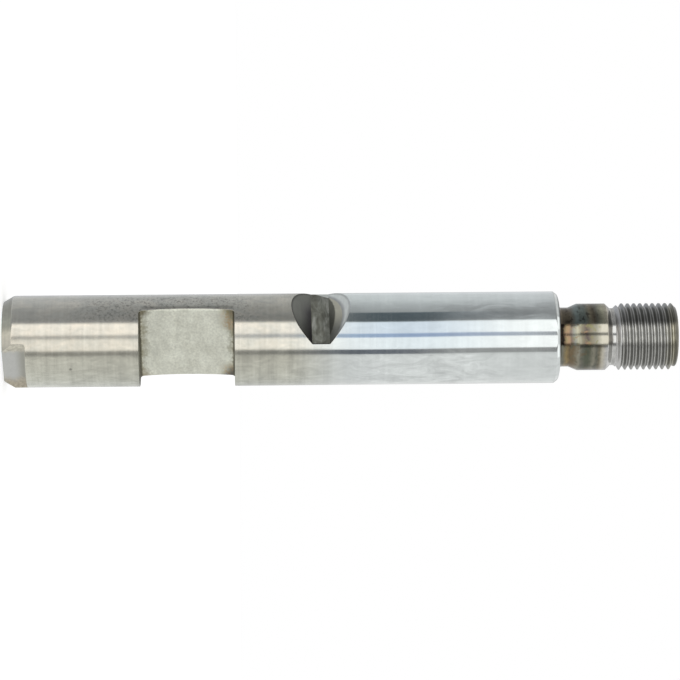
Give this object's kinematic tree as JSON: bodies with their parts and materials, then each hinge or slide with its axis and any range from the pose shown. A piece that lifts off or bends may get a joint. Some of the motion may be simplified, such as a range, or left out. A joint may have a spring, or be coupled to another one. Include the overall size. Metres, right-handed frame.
{
  "type": "shift fork shaft",
  "caption": "Round steel shaft that carries a gearbox shift fork, with a milled pocket, a V-shaped detent groove, a flat at the plain end and a threaded end behind a collar.",
  "frame": {"origin": "centre of the plain end face, which the shaft stands on", "axes": "+Z along the shaft towards the threaded end; the pocket and the end flat face -Y"},
  "size_m": [0.022, 0.022, 0.161],
  "materials": {
    "ground_steel": "ground and polished, with milled cuts and a heat-tinted collar"
  },
  "bodies": {
    "root": {"shift_fork_shaft": "ground_steel"}
  },
  "joints": []
}
